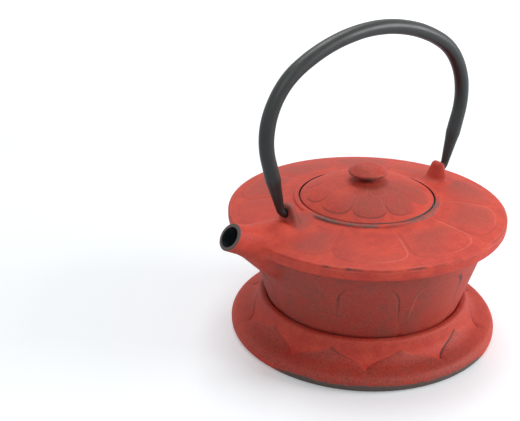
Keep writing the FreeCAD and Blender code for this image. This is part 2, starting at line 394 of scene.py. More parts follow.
class Finish:
    """Height of the relief at a point and how rubbed and chipped the paint is there, together with the
    painted shade and painted highlight carried in the same amounts.
    """

    def __init__(self, height=0.0, rub_and_shade=0.0, depth=-5 * MM, crease=0.0, glint=0.0):
        self.height = height
        self.rub_and_shade = rub_and_shade
        self.depth = depth
        self.crease = crease
        self.glint = glint
        self.wear_and_shade = 0.0


def facing_viewer(across, along, heading):
    """1 where a petal's edge looks to the photograph's side, 0 where it looks away."""
    ahead = math.cos(heading - viewer_heading) * max(0, along)
    aside = math.sin(viewer_heading - heading) * across
    return rise((ahead + aside) / max(1e-6, math.hypot(across, max(0, along))), -0.1, 0.5)


def towards(heading, middle, low, high):
    """Smooth climb from 0 to 1 as a heading nears the middle, in degrees; low and high are cosines."""
    return rise(math.cos(heading - math.radians(middle)), low, high)


def half_turn_past(heading, start):
    """1 over the half turn that begins at a heading in degrees, 0 over the other half."""
    return towards(heading, start + 90, -0.07, 0.07)


def petal_finish(depth, height, middle):
    """A raised petal: a soft step at its edge, a low dome inside and fine lines along the edge, which carry
    painted shade and painted highlight.
    """
    step = rise(depth, -0.8 * MM, 1.1 * MM)
    dome = rise(depth, 0, middle)
    return Finish(
        height=height * (0.6 * step + 0.4 * dome),
        rub_and_shade=step * (0.35 + 0.65 * dome),
        depth=depth,
        crease=1.0,
        glint=1.0,
    )


def finish_piece(bm, relief):
    """Moves each point along its normal by the relief and writes the wear for the shader."""
    layer = bm.verts.layers.float_color.new("finish")
    edge = bm.verts.layers.float.new("edge_depth")
    bm.normal_update()
    moves = []
    for vert in bm.verts:
        # Hand-cut pattern: its outlines wander a little, and its lines come and go
        wander = noise.noise_vector(vert.co * wander_scale) * hand_wander
        finish = relief(vert.co + wander, vert.normal)
        line = 0.35 + 0.65 * rise(noise.noise(vert.co * line_scale), -0.35, 0.25)
        vert[layer] = (finish.rub_and_shade, finish.wear_and_shade, finish.crease * line, finish.glint * line)
        vert[edge] = finish.depth / MM
        moves.append(vert.normal * finish.height)
    for vert, move in zip(bm.verts, moves):
        vert.co += move


def placed(piece, node, body, slot, *materials):
    for material in materials:
        piece.data.materials.append(material)
    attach(piece, body)
    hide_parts(node)
    return piece


def shader(name):
    """A new material with its Principled shader and a maker of wired nodes."""
    material = bpy.data.materials.new(name)
    material.use_nodes = True
    nodes = material.node_tree.nodes
    return material, nodes["Principled BSDF"], maker(material.node_tree)


def maker(tree):
    """Adds nodes to a tree: inputs are set to a value or wired to another node's output."""
    def add(kind, inputs=None, **settings):
        node = tree.nodes.new(kind)
        for key, value in settings.items():
            setattr(node, key, value)
        for key, value in (inputs or {}).items():
            wire(tree, value, node.inputs[key])
        return node
    return add


def wire(tree, value, socket):
    if isinstance(value, bpy.types.NodeSocket):
        tree.links.new(value, socket)
    else:
        socket.default_value = value


def colour_mix(add, factor, first, second):
    node = add("ShaderNodeMix", data_type="RGBA", clamp_factor=True)
    tree = node.id_data
    wire(tree, factor, node.inputs[0])
    wire(tree, first, node.inputs[6])
    wire(tree, second, node.inputs[7])
    return node.outputs[2]


def ramp(add, value, low, high, bottom=0.0, top=1.0):
    inputs = {0: value, 1: low, 2: high, 3: bottom, 4: top}
    return add("ShaderNodeMapRange", inputs, interpolation_type="SMOOTHSTEP").outputs[0]


def times(add, first, second):
    return add("ShaderNodeMath", {0: first, 1: second}, operation="MULTIPLY").outputs[0]


def plus(add, first, second):
    return add("ShaderNodeMath", {0: first, 1: second}, operation="ADD").outputs[0]


def clouds_at(add, place, scale, detail, roughness=0.5):
    """Soft noise at a place, from 0 to 1."""
    inputs = {"Vector": place, "Scale": scale, "Detail": detail, "Roughness": roughness}
    return add("ShaderNodeTexNoise", inputs).outputs[0]


def skin_bump(add, height, strength, distance):
    inputs = {"Strength": strength, "Distance": distance, "Height": height}
    return add("ShaderNodeBump", inputs).outputs[0]


def group(name, inputs, outputs):
    """An empty shader node group with its named sockets."""
    tree = bpy.data.node_groups.new(name, "ShaderNodeTree")
    for label, kind in inputs:
        tree.interface.new_socket(name=label, in_out="INPUT", socket_type=kind)
    for label, kind in outputs:
        tree.interface.new_socket(name=label, in_out="OUTPUT", socket_type=kind)
    add = maker(tree)
    return tree, add, add("NodeGroupInput").outputs, add("NodeGroupOutput").inputs


def cast_grain_group():
    """Sand-cast skin: a fine pebbled height with larger soft swells."""
    tree, add, given, put = group(
        "cast_grain",
        [("Vector", "NodeSocketVector"), ("Size", "NodeSocketFloat")],
        [("Height", "NodeSocketFloat")])
    scale = add("ShaderNodeMath", {0: 1.0, 1: given["Size"]}, operation="DIVIDE").outputs[0]
    coarse = times(add, scale, 0.22)
    pebbles = clouds_at(add, given["Vector"], scale, 3.0, 0.6)
    swells = clouds_at(add, given["Vector"], coarse, 2.0)
    height = plus(add, times(add, pebbles, 0.6), times(add, swells, 0.4))
    wire(tree, height, put["Height"])
    return tree


def rubbed_paint_group():
    """Breaks a piece's smooth amounts of rubbed and bare paint into patches, as handling does; the painted
    shade carried in these amounts is broken up the same way.
    """
    tree, add, given, put = group(
        "rub_and_shade_patches",
        [("Vector", "NodeSocketVector"), ("Rub", "NodeSocketFloat"), ("Wear", "NodeSocketFloat")],
        [("Rub And Shade Mask", "NodeSocketFloat"), ("Wear And Shade Mask", "NodeSocketFloat"), ("Cloud", "NodeSocketFloat"),
         ("Grit", "NodeSocketFloat")])
    clouds = clouds_at(add, given["Vector"], 30.0, 4.0, 0.6)
    blotches = clouds_at(add, given["Vector"], 110.0, 5.0, 0.65)
    streaks = clouds_at(add, given["Vector"], 420.0, 4.0, 0.65)
    grit = clouds_at(add, given["Vector"], 820.0, 2.0, 0.6)
    patch = plus(add, times(add, clouds, 0.3), times(add, blotches, 0.7))
    wire(tree, times(add, given["Rub"], ramp(add, patch, 0.4, 0.6, 0.5, 1.0)), put["Rub And Shade Mask"])
    ragged = plus(add, given["Wear"], times(add, plus(add, streaks, -0.5), 0.7))
    wire(tree, ramp(add, ragged, 0.35, 0.75), put["Wear And Shade Mask"])
    wire(tree, patch, put["Cloud"])
    wire(tree, ramp(add, grit, 0.48, 0.6), put["Grit"])
    return tree


def edge_lines_group():
    """A line of painted shade, which also draws real chips, and a painted highlight line along a petal's
    edge, from the depth in mm inside it.
    """
    tree, add, given, put = group(
        "edge_lines",
        [("Vector", "NodeSocketVector"), ("Depth", "NodeSocketFloat")],
        [("Crease", "NodeSocketFloat"), ("Glint", "NodeSocketFloat")])
    chips = clouds_at(add, given["Vector"], 500.0, 3.0, 0.6)
    depth = plus(add, given["Depth"], times(add, plus(add, chips, -0.5), 0.9))
    for label, middle, half in (("Crease", -0.25, 0.9), ("Glint", 0.7, 0.55)):
        away = add("ShaderNodeMath", {0: plus(add, depth, -middle)}, operation="ABSOLUTE").outputs[0]
        wire(tree, ramp(add, away, 0.3 * half, half, 1.0, 0.0), put[label])
    return tree


cast_grain = cast_grain_group()
rub_and_shade_patches = rubbed_paint_group()
edge_lines = edge_lines_group()


def object_place(add):
    return add("ShaderNodeTexCoord").outputs["Object"]


def red_iron_material(name, grit_share):
    """Matt red paint on cast iron, rubbed brown on raised places and bare grey on the edges, with painted
    shade in the brown, the grey and the edge lines, and painted highlight lines.
    """
    material, paint, add = shader(name)
    tree = material.node_tree
    place = object_place(add)
    marks = add("ShaderNodeAttribute", attribute_name="finish")
    rub_and_shade, wear_and_shade, crease = add("ShaderNodeSeparateColor", {0: marks.outputs["Color"]}).outputs
    depth = add("ShaderNodeAttribute", attribute_name="edge_depth").outputs["Fac"]
    grain = add("ShaderNodeGroup", {"Vector": place, "Size": red_grain_size}, node_tree=cast_grain)
    patch_masks = add("ShaderNodeGroup", {"Vector": place, "Rub": rub_and_shade, "Wear": wear_and_shade}, node_tree=rub_and_shade_patches)
    lines = add("ShaderNodeGroup", {"Vector": place, "Depth": depth}, node_tree=edge_lines)
    cloud = patch_masks.outputs["Cloud"]
    red = colour_mix(add, ramp(add, cloud, 0.36, 0.64), linear(*red_low), linear(*red_high))
    # Rubbed brown, also used as painted shade where the reliefs ask for it.
    red = colour_mix(add, times(add, patch_masks.outputs["Rub And Shade Mask"], 0.75), red, linear(*rub_and_shade_brown))
    grit = times(add, patch_masks.outputs["Grit"], plus(add, times(add, rub_and_shade, grit_share), 0.12))
    red = colour_mix(add, grit, red, linear(*grit_brown))
    # Edge lines of painted shade along petals, the lip and the knob's foot, and real paint chips on the
    # brim.
    chip_and_shade_lines = times(add, lines.outputs["Crease"], crease)
    red = colour_mix(add, times(add, chip_and_shade_lines, 0.75), red, linear(*chip_and_shade_brown))
    # Painted highlight lines along the edges turned to the light.
    glint = times(add, lines.outputs["Glint"], marks.outputs["Alpha"])
    red = colour_mix(add, times(add, glint, 0.34), red, linear(*glint_pink))
    # Bare grey iron, with painted shade at the stand's front foot.
    red = colour_mix(add, patch_masks.outputs["Wear And Shade Mask"], red, linear(*wear_and_shade_grey))
    wire(tree, red, paint.inputs["Base Color"])
    wire(tree, ramp(add, cloud, 0.3, 0.7, 0.58, 0.7), paint.inputs["Roughness"])
    wire(tree, skin_bump(add, grain.outputs["Height"], 0.6, 0.0006), paint.inputs["Normal"])
    return material


def enamel_material():
    """Black glossy enamel inside the pot."""
    material, enamel, add = shader("black_enamel")
    tree = material.node_tree
    pool = clouds_at(add, object_place(add), 60.0, 2.0)
    tone = colour_mix(add, ramp(add, pool, 0.35, 0.65), linear(*enamel_low), linear(*enamel_high))
    wire(tree, tone, enamel.inputs["Base Color"])
    wire(tree, ramp(add, pool, 0.3, 0.7, 0.16, 0.26), enamel.inputs["Roughness"])
    wire(tree, skin_bump(add, pool, 0.2, 0.0008), enamel.inputs["Normal"])
    return material


def dark_iron_material():
    """Satin charcoal paint on the bail, slightly uneven from the forming."""
    material, paint, add = shader("dark_iron")
    tree = material.node_tree
    place = object_place(add)
    grain = add("ShaderNodeGroup", {"Vector": place, "Size": bail_grain_size}, node_tree=cast_grain)
    patch_masks = add("ShaderNodeGroup", {"Vector": place, "Rub": 0.5}, node_tree=rub_and_shade_patches)
    tone = colour_mix(add, patch_masks.outputs["Rub And Shade Mask"], linear(*bail_low), linear(*bail_high))
    wire(tree, tone, paint.inputs["Base Color"])
    wire(tree, ramp(add, patch_masks.outputs["Cloud"], 0.3, 0.7, 0.34, 0.44), paint.inputs["Roughness"])
    paint.inputs["Specular IOR Level"].default_value = 0.55
    wire(tree, skin_bump(add, grain.outputs["Height"], 0.18, 0.0003), paint.inputs["Normal"])
    return material


def basket_steel_material(name, rough_low, rough_high):
    """Pressed stainless steel with a faint drawn grain round the basket."""
    material, steel, add = shader(name)
    tree = material.node_tree
    drawn = add("ShaderNodeMapping", {"Vector": object_place(add), "Scale": (60.0, 60.0, 2600.0)})
    lines = clouds_at(add, drawn.outputs[0], 1.0, 2.0)
    tone = colour_mix(add, lines, linear(*steel_low), linear(*steel_high))
    wire(tree, tone, steel.inputs["Base Color"])
    steel.inputs["Metallic"].default_value = 1.0
    wire(tree, ramp(add, lines, 0.3, 0.7, rough_low, rough_high), steel.inputs["Roughness"])
    wire(tree, skin_bump(add, lines, 0.1, 0.0001), steel.inputs["Normal"])
    return material


red_iron = red_iron_material("red_iron", 0.16)
red_iron_stand = red_iron_material("red_iron_stand", 0.45)
black_enamel = enamel_material()
dark_iron = dark_iron_material()
basket_steel = basket_steel_material("basket_steel", 0.22, 0.36)
basket_wire = basket_steel_material("basket_wire", 0.3, 0.42)


def on_spout_axis(bm):
    """Turns a shape drawn up Z, with the tip at the origin, onto the spout's axis."""
    place = Matrix.Translation(spout_tip) @ Matrix.Rotation(math.pi / 2 - spout_angle, 4, "Y")
    bmesh.ops.transform(bm, matrix=place, verts=bm.verts)


def flat_end(bm, place, outward, rounding, half_width):
    """Cuts a shape off square to a direction and closes it with a flat face whose rim is rounded."""
    bmesh.ops.bisect_plane(bm, geom=everything(bm), dist=weld, plane_co=place - outward * rounding,
                           plane_no=outward, clear_outer=True)
    ring = [item for item in bm.verts[:] + bm.edges[:] if item.is_boundary]
    # Short steps outward, each a little smaller, follow a quarter circle
    turns = [math.pi / 2 * step / 5 for step in range(6)]
    sizes = [1 - rounding * (1 - math.cos(turn)) / half_width for turn in turns]
    for step in range(5):
        ahead = rounding * (math.sin(turns[step + 1]) - math.sin(turns[step]))
        ring = drawn_on(bm, ring, outward * ahead, sizes[step + 1] / sizes[step])
    bmesh.ops.contextual_create(bm, geom=ring_edges(ring))
    bmesh.ops.recalc_face_normals(bm, faces=bm.faces)


def spout_solid():
    points = rounded([
        (0, -spout_length, 0),
        (spout_root_radius, -spout_length, 0),
        (spout_belly_radius, -spout_length * spout_belly_share, spout_sweep),
        (spout_neck_radius, -spout_length * spout_neck_share, spout_sweep),
        (spout_tip_radius, past_tip, 0),
        (0, past_tip, 0)])
    bm = turned(points, 100, lambda radius, height: 1.0 * MM)
    on_spout_axis(bm)
    flat_end(bm, spout_tip, mouth_direction, spout_lip_rounding, spout_tip_radius)
    return as_object(bm, "spout_solid")


def channel_solid():
    points = rounded([
        (0, -spout_length, 0),
        (channel_root_radius, -spout_length, 0),
        (channel_radius, -spout_length * spout_neck_share, spout_sweep),
        (channel_radius, past_tip, 0),
        (0, past_tip, 0)])
    bm = turned(points, 60, lambda radius, height: 4 * MM)
    on_spout_axis(bm)
    return as_object(bm, "channel_solid")


def lug_solid(side):
    """Half-round ear with its flat face outwards."""
    points = rounded([
        (0, lug_foot_height, 0),
        (lug_foot_radius, lug_foot_height, 0),
        (lug_crown_radius, lug_top_height, lug_crown_rounding),
        (0, lug_top_height, 0)])
    bm = turned(points, 60, lambda radius, height: 1.0 * MM)
    flat_end(bm, Vector((0, 0, 0)), Vector((1, 0, 0)), lug_edge_rounding, lug_foot_radius)
    bmesh.ops.translate(bm, verts=bm.verts, vec=(lug_face_radius, 0, 0))
    if side < 0:
        bmesh.ops.rotate(bm, verts=bm.verts, cent=(0, 0, 0), matrix=Matrix.Rotation(math.pi, 3, "Z"))
    return as_object(bm, "lug_solid")


def socket_solid(side):
    """Blind hole in a lug's face for the hook."""
    bm = bmesh.new()
    place = Matrix.Translation((side * lug_face_radius, 0, hinge_height))
    place = place @ Matrix.Rotation(math.pi / 2, 4, "Y")
    bmesh.ops.create_cone(bm, cap_ends=True, segments=40, radius1=socket_radius, radius2=socket_radius,
                          depth=2 * socket_depth, matrix=place)
    return as_object(bm, "socket_solid")


def pot_row(radius, height):
    """Fine rows where the petals are seen, wide ones elsewhere."""
    on_shoulder = height > shoulder_height and radius > shoulder_inner_radius
    on_wall = 24 * MM < height < 70 * MM
    on_brim = height > 74 * MM and radius > 78 * MM
    if on_shoulder or on_wall or on_brim:
        return fine_row
    return hidden_row if radius < shoulder_inner_radius else plain_row


def from_spout_axis(point):
    """Distance of a point from the spout's axis, and how far it lies ahead of the tip."""
    along = Vector((math.cos(spout_angle), 0, math.sin(spout_angle)))
    away = point - spout_tip
    ahead = away.dot(along)
    return (away - along * ahead).length, ahead


def spout_radius(back):
    """Outside radius of the spout at a distance back from its tip."""
    neck = spout_length * spout_neck_share
    belly = spout_length * spout_belly_share
    if back < neck:
        return spout_tip_radius
    return spout_neck_radius + (spout_belly_radius - spout_neck_radius) * (back - neck) / (belly - neck)


def lug_distance(point):
    return math.hypot(abs(point.x) - lug_middle_radius, point.y)


def near_spout(point):
    """1 on the spout and its blend, falling to 0 on the plain casting."""
    off_axis, ahead = from_spout_axis(point)
    if point.x < 40 * MM or ahead < -spout_length:
        return 0
    return 1 - rise(off_axis - spout_radius(-ahead), 3 * MM, 12 * MM)


def near_lug(point):
    if point.z < shoulder_height:
        return 0
    return 1 - rise(lug_distance(point), 0.75 * lug_zone, lug_zone)


def beside_lug_at_spout(point):
    """As near_spout, but leaves out the lug that stands on the spout's root."""
    return near_spout(point) if lug_distance(point) > lug_foot_radius + MM else 0


def petal_angle(point, turn=petal_turn, pitch=petal_pitch):
    return wrapped(math.atan2(point.y, point.x) - turn, pitch)


def pot_relief(point, normal):
    radius = math.hypot(point.x, point.y)
    heading = math.atan2(point.y, point.x)
    angle = petal_angle(point)
    off_axis, ahead = from_spout_axis(point)
    right_side = rise(angle * radius, -4 * MM, 4 * MM)
    finish = Finish()
    if point.z > 84.2 * MM and radius > 47 * MM and normal.z > 0.5:
        half = shoulder_petal_share * petal_pitch / 2 * radius
        depth = petal_depth(angle * radius, half, radius - shoulder_petal_cap,
                            shoulder_petal_end - shoulder_petal_cap)
        finish = petal_finish(depth, shoulder_petal_height, 9 * MM)
        start = rise(radius, shoulder_petal_start - 2 * MM, shoulder_petal_start + 3 * MM)
        vein = bump(angle * radius, 0.7 * MM) * rise(radius, 58 * MM, 64 * MM)
        vein *= 1 - rise(radius, 76 * MM, 80 * MM)
        finish.height = finish.height * start + 0.15 * MM * vein
        patchy = rise(noise.noise(point * 26), -0.45, 0.4)
        finish.rub_and_shade *= 0.65 * start * rise(radius, 54 * MM, 62 * MM) * patchy
        # Painted highlight on the petals' right edges, which face the light, and painted shade on their
        # other edges.
        past_left = towards(heading, 105, 0.36, 0.48)
        finish.glint *= right_side * start * past_left
        finish.crease *= 0.3 * start * (1 - right_side * past_left)
    elif point.z < 74 * MM and normal.z < 0.2 and radius > 58 * MM:
        half = (panel_half_angle + panel_spread * max(0, 62 * MM - point.z)) * radius
        depth = petal_depth(angle * radius, half, point.z - panel_cap_height, panel_top - panel_cap_height)
        finish = petal_finish(depth, panel_height, 10 * MM)
        # The wall's brown paint is lighter towards the right as painted light.
        painted_light_right = towards(heading, 125, 0.6, 0.95)
        finish.rub_and_shade = (0.95 + 0.05 * finish.rub_and_shade) * (1 - 0.45 * painted_light_right)
        # Painted shade on the panels' right edges and on the nearer panels' left edges; painted highlight on
        # the further panels' left edges.
        below_top = (1 - rise(point.z, 58 * MM, 66 * MM)) * rise(point.z, 34 * MM, 48 * MM)
        past_middle = half_turn_past(heading, 60)
        past_left = half_turn_past(heading, 32)
        left_side = 1 - right_side
        finish.crease *= past_left * max(right_side, left_side * (1 - past_middle)) * below_top
        finish.glint *= 0.8 * left_side * past_middle * below_top
        # The last panel edge in view at the right is the broadest and darkest, as painted shade
        last_edge = towards(heading, 102, 0.97, 0.995)
        finish.crease *= 1 + 1.6 * last_edge
        finish.depth *= 1 - 0.5 * last_edge
    clear = 1 - max(near_spout(point), near_lug(point))
    finish.height *= clear
    finish.crease *= clear
    finish.glint *= clear
    off_wall = rise(radius - wall_foot_radius - wall_slope * point.z, 0, 17 * MM)
    finish.rub_and_shade *= clear if point.z > 80 * MM else 1 - near_spout(point) * off_wall
    # Painted shade on the spout's underside, put into the brown.
    painted_shade_under_spout = near_spout(point) * rise(-normal.z, 0.1, 0.6) * (point.z > 60 * MM)
    finish.rub_and_shade = max(finish.rub_and_shade, 0.42 * painted_shade_under_spout)
    at_lug = (1 - rise(lug_distance(point), 7 * MM, 16 * MM)) * (radius < 66 * MM)
    at_lug *= rise(point.z, shoulder_height, shoulder_height + 3 * MM)
    # The left lug's face is painted brown as shade, with bare grey near the hook.
    left_lug_wear_and_shade = at_lug * (point.x > 0)
    finish.rub_and_shade = max(finish.rub_and_shade, 0.25 * at_lug, left_lug_wear_and_shade)
    if radius > 86.5 * MM and point.z > 82 * MM:
        # Real paint chips along the brim's edge, and a painted highlight along it.
        first_chip = bump(heading - math.radians(40), 0.2)
        second_chip = 0.8 * bump(heading - math.radians(76), 0.2)
        chipped = max(first_chip, second_chip, 0.2)
        finish.depth = 0.8 * math.hypot(radius - 89.5 * MM, point.z - 84.4 * MM) - 0.25 * MM
        finish.crease = 1.8 * chipped * rise(noise.noise(point * 150), -0.3, 0.2) * clear
        finish.glint = 0.3 * clear
    front = towards(heading, 37, 0.55, 0.95)
    right = towards(heading, 108, 0.75, 0.95)
    on_lip = (radius < 48.3 * MM) * rise(point.z, 91.0 * MM, 91.5 * MM) * (normal.z > -0.2)
    ragged = rise(noise.noise(point * 120), -0.5, 0.3)
    lip = on_lip * max(0.15, (0.3 + 0.34 * ragged) * front, 0.55 * right)
    if radius < 45.8 * MM and point.z > 90 * MM:
        # Painted shade on the lip's inner edge at the right, widening the black gap round the lid.
        finish.depth = max(0, radius - 45 * MM) - 0.25 * MM
        finish.crease = 1.3 * right
    elif radius < 49.5 * MM and point.z > 90 * MM:
        # Painted shadow along the foot of the lip at the front.
        finish.depth = radius - 47.4 * MM
        finish.crease = 0.8 * front * rise(noise.noise(point * 55), -0.2, 0.3)
    past_mouth = (point - spout_tip).dot(mouth_direction)
    tip = rise(past_mouth, -0.7 * MM, -0.2 * MM) * (off_axis < 9 * MM) * 0.85
    finish.wear_and_shade = max(lip, tip, 0.46 * left_lug_wear_and_shade * (1 - rise(lug_distance(point), 7 * MM, 12 * MM)))
    return finish


def make_pot():
    points = half_section("pot_body")
    top = max(range(len(points)), key=lambda i: (round(points[i][1], 6), points[i][0]))
    lip_top = points[top][1]
    outer = points[:top + 1] + [(0, lip_top)]
    inner = [(0, lip_top + 3 * MM), (points[top + 1][0], lip_top + 3 * MM)] + points[top + 1:]
    pot = as_object(turned(outer, pot_columns, pot_row), "pot_casting")
    pot.data.materials.append(red_iron)
    pot = combined(pot, [spout_solid(), lug_solid(1), lug_solid(-1)], "UNION")
    ease_joints(pot.data, beside_lug_at_spout, spout_joint_reach)
    ease_joints(pot.data, near_lug, lug_joint_reach)
    cavity = as_object(turned(inner, cavity_columns, lambda radius, height: 4 * MM), "cavity_solid")
    channel = channel_solid()
    for hollow in (cavity, channel):
        hollow.data.materials.append(black_enamel)
    pot = combined(pot, [cavity, channel, socket_solid(1), socket_solid(-1)], "DIFFERENCE")
    bm = bmesh.new()
    bm.from_mesh(pot.data)
    clean_cuts(bm)
    finish_piece(bm, pot_relief)
    smooth_faces(bm)
    bm.to_mesh(pot.data)
    bm.free()
    return placed(pot, "pot_body", "pot", "red_iron")


def clean_cuts(bm):
    """Splits many-sided faces and takes out the folded slivers that the cuts leave."""
    bmesh.ops.triangulate(bm, faces=[face for face in bm.faces if len(face.verts) > 4])
    bmesh.ops.dissolve_degenerate(bm, dist=weld, edges=bm.edges)
    alike = {}
    for face in bm.faces:
        alike.setdefault(frozenset(face.verts), []).append(face)
    doubled = [face for faces in alike.values() if len(faces) > 1 for face in faces]
    bmesh.ops.delete(bm, geom=doubled, context="FACES")


def ease_joints(mesh, nearness, reach):
    """Rounds the inside corners where an addition grows out of the casting."""
    bm = bmesh.new()
    bm.from_mesh(mesh)
    corners = [edge for edge in bm.edges if len(edge.link_faces) == 2 and nearness(edge.verts[0].co) > 0
               and edge.calc_face_angle_signed() < math.radians(-12)]
    middles = [(edge.verts[0].co + edge.verts[1].co) / 2 for edge in corners]
    tree = KDTree(len(middles))
    for index, middle in enumerate(middles):
        tree.insert(middle, index)
    tree.balance()
    away = {vert: tree.find(vert.co)[2] for vert in bm.verts if nearness(vert.co) > 0}
    bmesh.ops.remove_doubles(bm, verts=[vert for vert in away if away[vert] < MM], dist=0.2 * MM)
    for share in (1, 0.85, 0.7, 0.55, 0.4, 0.25):
        band = [vert for vert in away if vert.is_valid and away[vert] < share * reach]
        for turn in range(8):
            bmesh.ops.smooth_vert(bm, verts=band, factor=0.5,
                                  use_axis_x=True, use_axis_y=True, use_axis_z=True)
    bm.to_mesh(mesh)
    bm.free()


def stand_relief(point, normal):
    radius = math.hypot(point.x, point.y)
    heading = math.atan2(point.y, point.x)
    angle = petal_angle(point, petal_turn + petal_pitch / 2)
    finish = Finish()
    if normal.z > 0.05 and radius > 66 * MM and point.z > 2 * MM:
        # Pointed lobes: a softened tip, straight sides, then steep up to the notch between two of them
        share = soft_share(abs(angle) / (petal_pitch / 2), lobe_tip_softness)
        drop = lobe_notch_radius - lobe_tip_radius
        edge = lobe_tip_radius + drop * (share + share ** lobe_power) / 2
        slope = drop * (1 + lobe_power * share ** (lobe_power - 1)) / petal_pitch / radius
        depth = (radius - edge) / math.hypot(1, slope) / max(0.4, normal.z)
        finish = petal_finish(depth, lobe_height, 5 * MM)
        fade = 1 - rise(radius, *lobe_fade)
        finish.height *= fade
        # Painted shade on the lobe edges turned towards the camera, strongest at the right, and a painted
        # highlight on the edges turned away.
        facing = rise(math.sin(viewer_heading - heading) * math.copysign(1, angle), -0.05, 0.15)
        to_right = towards(heading, 94, 0.94, 0.99)
        lined = 1 - rise(radius, *lobe_lines_fade)
        finish.crease *= lined * facing * (0.8 + 0.6 * to_right)
        finish.glint *= 0.25 * lined * (1 - facing)
        # Brown rubbing in the lobes, heaviest at the front and kept lighter on the sides as painted sheen.
        front_rub_and_side_sheen = 0.3 + 0.7 * rise(math.cos(heading - viewer_heading), 0.3, 0.8)
        at_ridge = bump(radius - stand_ridge_radius, 3 * MM)
        finish.rub_and_shade = 0.08 + 0.64 * front_rub_and_side_sheen * rise(depth, -0.5 * MM, MM) + 0.4 * at_ridge
    # Bare grey iron at the foot, much stronger across the front as painted shade under the rim.
    low = 1 - rise(point.z, 3.0 * MM, 8.4 * MM)
    ridge = 0.4 * bump(radius - stand_ridge_radius, 1.6 * MM) * rise(point.z, 24 * MM, 25 * MM)
    foot_wear_and_front_shade = 0.3 + 0.7 * towards(heading, 62, 0.55, 0.85)
    finish.wear_and_shade = max(low * foot_wear_and_front_shade * (radius > 80 * MM), ridge)
    return finish


def make_stand():
    def row(radius, height):
        return fine_row if radius > 69 * MM and height > 3 * MM else plain_row
    bm = turned(half_section("stand"), stand_columns, row)
    finish_piece(bm, stand_relief)
    return placed(as_object(bm, "stand_casting"), "stand", "stand", "red_iron", red_iron_stand)


def lid_relief(point, normal):
    radius = math.hypot(point.x, point.y)
    heading = math.atan2(point.y, point.x)
    finish = Finish()
    if normal.z > 0.3 and point.z > 88 * MM:
        outer_angle = petal_angle(point)
        inner_angle = petal_angle(point, petal_turn + petal_pitch / 2)
        outer = petal_finish(
            petal_depth(outer_angle * radius, lid_petal_half * petal_pitch * radius, radius - lid_petal_cap,
                        lid_petal_end - lid_petal_cap), lid_petal_height, 4 * MM)
        inner = petal_finish(
            petal_depth(inner_angle * radius, lid_inner_half * petal_pitch * radius, radius - lid_inner_cap,
                        lid_inner_end - lid_inner_cap), lid_inner_height, 3 * MM)
        start = rise(radius, lid_petal_start - 2 * MM, lid_petal_start + MM)
        inner_start = rise(radius, lid_inner_start, lid_inner_start + 3 * MM)
        finish.height = max(outer.height * start, inner.height * inner_start)
        below_cap = 1 - rise(radius, lid_petal_cap, lid_petal_cap + 5 * MM)
        inside = max(rise(outer.depth, -0.5 * MM, MM), below_cap)
        # Brown rubbing inside the petals, partly painted shade: heavier towards the front right, lightest on
        # the left.
        rub_and_shade_by_heading = 0.06 + 0.66 * towards(heading, 86, 0.15, 0.8)
        finish.rub_and_shade = rub_and_shade_by_heading * inside * rise(radius, 8 * MM, 14 * MM)
        if radius > lid_petal_start:
            # Painted shade on the petal edges turned towards the camera, painted highlight on the others.
            facing = facing_viewer(outer_angle * radius / (lid_petal_half * petal_pitch * radius),
                                   (radius - lid_petal_cap) / (lid_petal_end - lid_petal_cap), heading)
            finish.depth = outer.depth
            finish.crease = 0.75 * facing * rise(radius, lid_petal_cap - 3 * MM, lid_petal_cap + 2 * MM)
            finish.glint = 0.2 * (1 - facing) * start
        else:
            finish.depth = inner.depth
            # Painted highlight along the inner ring of petals.
            finish.glint = 0.4 * inner_start
    towards_right = towards(heading, 115, 0.0, 0.8)
    finish.wear_and_shade = (0.25 + 0.45 * towards_right) * rise(radius, 42.4 * MM, 43 * MM)
    return finish


def make_lid():
    def row(radius, height):
        return 0.6 * MM if radius > 9 * MM and height > 89 * MM else plain_row
    bm = turned(half_section("lid"), lid_columns, row)
    finish_piece(bm, lid_relief)
    return placed(as_object(bm, "lid_casting"), "lid", "lid", "red_iron", red_iron)


def knob_relief(point, normal):
    radius = math.hypot(point.x, point.y)
    pitch = FULL_TURN / knob_petal_count
    finish = Finish()
    if normal.z > 0.5 and point.z > 110.2 * MM:
        angle = petal_angle(point, petal_turn, pitch)
        depth = petal_depth(angle * radius, knob_petal_half * pitch * radius, radius - knob_petal_cap,
                            knob_petal_end - knob_petal_cap)
        finish = petal_finish(depth, knob_petal_height, 2 * MM)
        finish.crease *= 0.2
        finish.glint = 0
        finish.rub_and_shade = max(0.5 * finish.rub_and_shade, 0.35)
    finish.rub_and_shade = max(finish.rub_and_shade, rise(radius, 11.6 * MM, 12.5 * MM))
    finish.wear_and_shade = 0.3 * rise(radius, 12.2 * MM, 12.7 * MM)
    # Painted shade under the knob's rim.
    if point.z < 108.8 * MM:
        finish.depth = -0.25 * MM
        finish.crease = 1.3
    return finish


def make_knob():
    bm = turned(half_section("lid_knob"), knob_columns, lambda radius, height: 0.4 * MM)
    finish_piece(bm, knob_relief)
    return placed(as_object(bm, "knob_casting"), "lid_knob", "lid", "red_iron", red_iron)


def ring_verts(items):
    return [item for item in items if isinstance(item, bmesh.types.BMVert)]


def ring_edges(items):
    return [item for item in items if isinstance(item, bmesh.types.BMEdge)]


def bent_on(bm, ring, centre, angle, steps):
    """Carries an open ring of the bar round a bend; gives the ring at its far end."""
    swept = bmesh.ops.spin(bm, geom=ring, cent=centre, axis=(0, 1, 0), dvec=(0, 0, 0),
                           angle=angle, steps=steps)
    return swept["geom_last"]


def drawn_on(bm, ring, move, size=1.0):
    """Carries an open ring of the bar straight on, made thinner by size."""
    grown = bmesh.ops.extrude_edge_only(bm, edges=ring_edges(ring))["geom"]
    verts = ring_verts(grown)
    bmesh.ops.translate(bm, verts=verts, vec=move)
    middle = sum((vert.co for vert in verts), Vector()) / len(verts)
    bmesh.ops.scale(bm, verts=verts, vec=(size, size, size), space=Matrix.Translation(-middle))
    return verts + [edge for edge in ring_edges(grown) if all(vert in verts for vert in edge.verts)]


